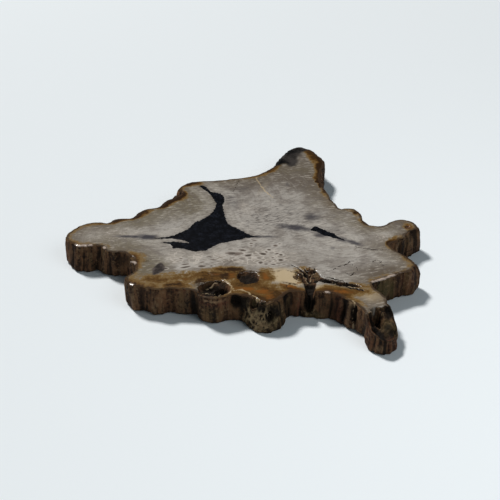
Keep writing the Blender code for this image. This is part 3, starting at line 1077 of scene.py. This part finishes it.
# Over the silica: the chalky web, manganese smoke and strokes, cream, and the lenses in pale halos.
crooked = stone.stretched(stone.cloud(where, 60, 3, output="Color"), 0, (0.02, 0.02, 0))
flat_cells = {0: stone.stretched(where, 6, (1, 1.9, 1)), 1: crooked}
bent = stone.node("ShaderNodeVectorMath", {"operation": "ADD"}, flat_cells)
strand = stone.step(stone.cell_border(bent, 95) + mottle_jog * 0.2, 0.14, 0.02)
web = mark["chalk"] * (0.2 + 1.4 * mottle) + streak_jog * 1.6
smoke = mark["smoke"] * (0.3 + 1.2 * fog) + streak_jog * 0.5
stroke = stone.cloud(stone.stretched(where, -28, (75, 330, 1)), 1, 3, 0.6, 0.3)
cream = mark["cream"] * (0.1 + 0.9 * drift + 0.9 * mottle)
near_lens = stone.step(mark["lens"], -0.9, -0.3)
lens = mark["lens"] + (mottle_jog * 0.8 + streak_jog * 1.4) * near_lens
lens_colour = stone.laid(paint(114, 101, 92), (paint(66, 57, 49), lens, 0.3, 0.7, 1))
face = stone.laid(
    face,
    (paint(200, 189, 177), web, 0.25, 0.8, (0.35 + 0.9 * strand) * 0.66),
    (paint(68, 65, 69), smoke, 0.15, 0.85, stone.step(mark["smoke"], 0.02, 0.15)),
    (paint(72, 66, 66), stroke, 0.53, 0.62, mark["strokes"] * 0.8),
    (paint(190, 168, 134), cream, 0.15, 0.9, 0.9),
    (paint(188, 180, 171), mark["lens"] + mottle_jog * 0.7, -0.75, -0.15, 0.5),
    (lens_colour, lens, 0.02, 0.35, 0.9),
)

# Iron rust, from ochre to dark brown, and the darker line where the polish meets the bark.
smear = stone.cloud(stone.stretched(where, -4, (60, 260, 60)), 1, 6, 0.78, 0.8)
at_rim = stone.step(mark["to_edge"] + mottle_jog * 22 + fog_jog * 30, 12, 2)
rust = mark["rust"] + mark["rim_rust"] * at_rim
rust = rust * (1.9 * smear) + (mottle_jog * 1.2 + speck_jog * 0.7) * stone.step(rust, 0.02, 0.3)
near_ember = stone.step(mark["ember"], 0.02, 0.3)
ember = mark["ember"] * (2.4 * smear - 0.4) + mottle_jog * 1.3 * near_ember
bistre = (mark["bistre"] + mark["rim_bistre"] * at_rim) * (0.1 + 1.6 * mottle)
face = stone.laid(
    face,
    (paint(124, 99, 62), rust, 0.12, 0.42, 1),
    (paint(94, 66, 32), rust, 0.38, 0.66, 1),
    (paint(60, 41, 22), rust, 0.7, 1, 0.85),
    (paint(128, 78, 31), ember, 0.3, 0.8, 0.85),
    (paint(48, 32, 19), bistre + speck_jog * 0.6, 0.3, 0.65, 0.92),
    (paint(54, 38, 24), mark["to_edge"] + mottle_jog * 8, 2.6, -0.6, 0.9),
)

# The dark inclusion, the charred spur, pale crystal seams, dark cracks and the black heart of carbon.
inclusion_colour = stone.laid(paint(50, 44, 42), (paint(92, 82, 77), mottle, 0.4, 0.62, 1))
ash = drift * 0.6 + fog * 0.4 + speck * 0.3
char_colour = stone.laid(paint(12, 13, 14), (paint(66, 61, 58), ash, 0.6, 0.78, 1))
glints = mottle * 0.5 + speck * 0.5
heart_colour = stone.laid(paint(8, 9, 13), (paint(36, 39, 48), glints, 0.46, 0.66, 0.8))
wobble = (stone.cloud(where, 200, 4) - 0.5) * 7
face = stone.laid(
    face,
    (inclusion_colour, mark["inclusion"] + fog_jog * 6 + mottle_jog * 4, -1.2, 1.8, 1),
    (char_colour, mark["char"] + fog_jog * 22, -6, 5, 1),
    (paint(172, 150, 116), mark["crystal"], 0.4, 0.8, 0.8),
    (paint(34, 24, 16), mark["cracks"] * (0.3 + fog + 0.4 * mottle), 0.35, 0.7, 0.95),
    (heart_colour, mark["carbon"] + wobble, -0.35, 0.45, 1),
)

# The bark and the hollows: dark brown, streaked down the wall, with a painted highlight on the ribs'
# backs, painted shade in their grooves, in the hollows and in the pits, and dark spots that are partly
# painted shade.
down = stone.stretched(where, 0, (1, 1, 0.14))
run = stone.cloud(down, 130, 4, 0.65)
broad_run = stone.cloud(down, 45, 3)
crumb = stone.cloud(where, 210, 4, 0.7)
crumb_jog = crumb - 0.5
reddish = stone.step(broad_run, 0.54, 0.68) * 0.5 + mark["reddish"]
olive = stone.step(broad_run, 0.44, 0.32) * 0.5 + mark["olive"]
net = mark["net"] - mark["pock"] * 1.7
# Painted shade in the hollows and the pock pits, with the dark spots, which are partly painted shade.
deep = mark["hollow_shade"] * 0.8 + mark["pock"] * 0.34 + mark["dark_and_shade"]
wood = stone.laid(
    paint(60, 39, 25),
    (paint(110, 79, 54), run, 0.42, 0.62, 1),
    (paint(98, 56, 40), reddish * (0.5 + run), 0.1, 0.9, 0.8),
    (paint(78, 69, 42), olive * (0.5 + run), 0.1, 0.9, 0.8),
    # A painted highlight on the ribs' rounded backs.
    (paint(130, 105, 78), mark["rib"] + crumb_jog * 3, 0.3, 1.3, 0.5),
    (paint(134, 110, 82), crumb, 0.53, 0.68, 0.5),
    # Pale places, partly a painted highlight on raised edges and lips.
    (paint(154, 128, 96), mark["pale_and_highlit"] * (0.4 + 1.2 * crumb), 0.25, 0.9, 0.8),
    (paint(28, 19, 12), crumb + (run - 0.5) * 0.6, 0.46, 0.34, 0.85),
    # Painted shade in the grooves between the ribs.
    (paint(22, 15, 9), mark["rib"] + crumb_jog * 0.8, -0.4, -0.95, 0.85),
    (paint(136, 117, 86), net + crumb_jog * 1.6, 0.25, 0.8, 0.75),
    # The painted shade and dark spots gathered above.
    (paint(13, 8, 4), deep + crumb_jog * 0.9, 0.15, 0.7, 0.94),
    (paint(14, 9, 5), mark["cracks"] * (0.4 + 1.2 * crumb), 0.3, 0.7, 0.9),
    (paint(160, 140, 112), mark["crystal"] * (0.3 + 1.4 * crumb), 0.4, 0.75, 0.7),
)

# The whole stone: bark beside the face, a chipped edge that is still polished in places and carries a
# painted highlight there, and a dusty sawn underside. Only the face is polished, and its polish stops
# short of the edge.
RELIEF = 1.5 * MM
POLISH = 0.6
# The colour of the highlight painted where the edge is still polished.
PAINTED_HIGHLIGHT_COLOUR = paint(206, 186, 172)
DUST_COLOUR = paint(122, 112, 100)
bark_share = stone.step(mark["bark"] + crumb_jog * 0.5, 0.35, 0.65)
polish_and_highlight = stone.step(mark["polish_and_highlight"] + mottle_jog * 1.6 + crumb_jog * 0.8, 0.45, 0.85)
polish_and_highlight = polish_and_highlight * stone.step(mark["to_edge"] + crumb_jog * 3, -2, -0.6)
polish_and_highlight = polish_and_highlight * stone.step(mark["to_edge"], 1, 0)
edge = stone.step(mark["to_edge"], -3, -1) * stone.step(mark["to_edge"], 2.4, 0.4)
# Over the colour, a painted highlight where the edge is still polished.
colour = stone.mixed(stone.mixed(face, wood, bark_share), PAINTED_HIGHLIGHT_COLOUR, polish_and_highlight * 0.7)
colour = stone.mixed(colour, stone.mixed(face, DUST_COLOUR, 0.55), mark["sawn"])
polish = POLISH * (1 - bark_share) * (1 - mark["sawn"]) * (1 - edge)
polish = polish * stone.step(mark["bark"], 0.08, 0.01) + polish_and_highlight
roughness = 0.3 + bark_share * (0.35 + 0.3 * crumb) + mark["sawn"] * 0.4
roughness = roughness + edge * 0.6 - polish_and_highlight * 0.7
cut = stone.step(mark["cracks"] * (0.5 + fog), 0.35, 0.7)
relief = bark_share * (run * 1.2 + crumb * 1.1 + speck * 0.3) - 0.15 * (1 - bark_share) * cut
raised = stone.node("ShaderNodeBump", {}, {"Strength": 1, "Distance": RELIEF, "Height": relief})
stone.feed(stone.shader.inputs["Base Color"], colour)
stone.feed(stone.shader.inputs["Roughness"], roughness)
stone.feed(stone.shader.inputs["Normal"], raised)
stone.feed(stone.shader.inputs["Coat Weight"], polish)
stone.shader.inputs["Specular IOR Level"].default_value = 0.15
stone.shader.inputs["Coat Roughness"].default_value = 0.15
stone.shader.inputs["Coat IOR"].default_value = 1.5
slab_data.materials.append(stone.material)
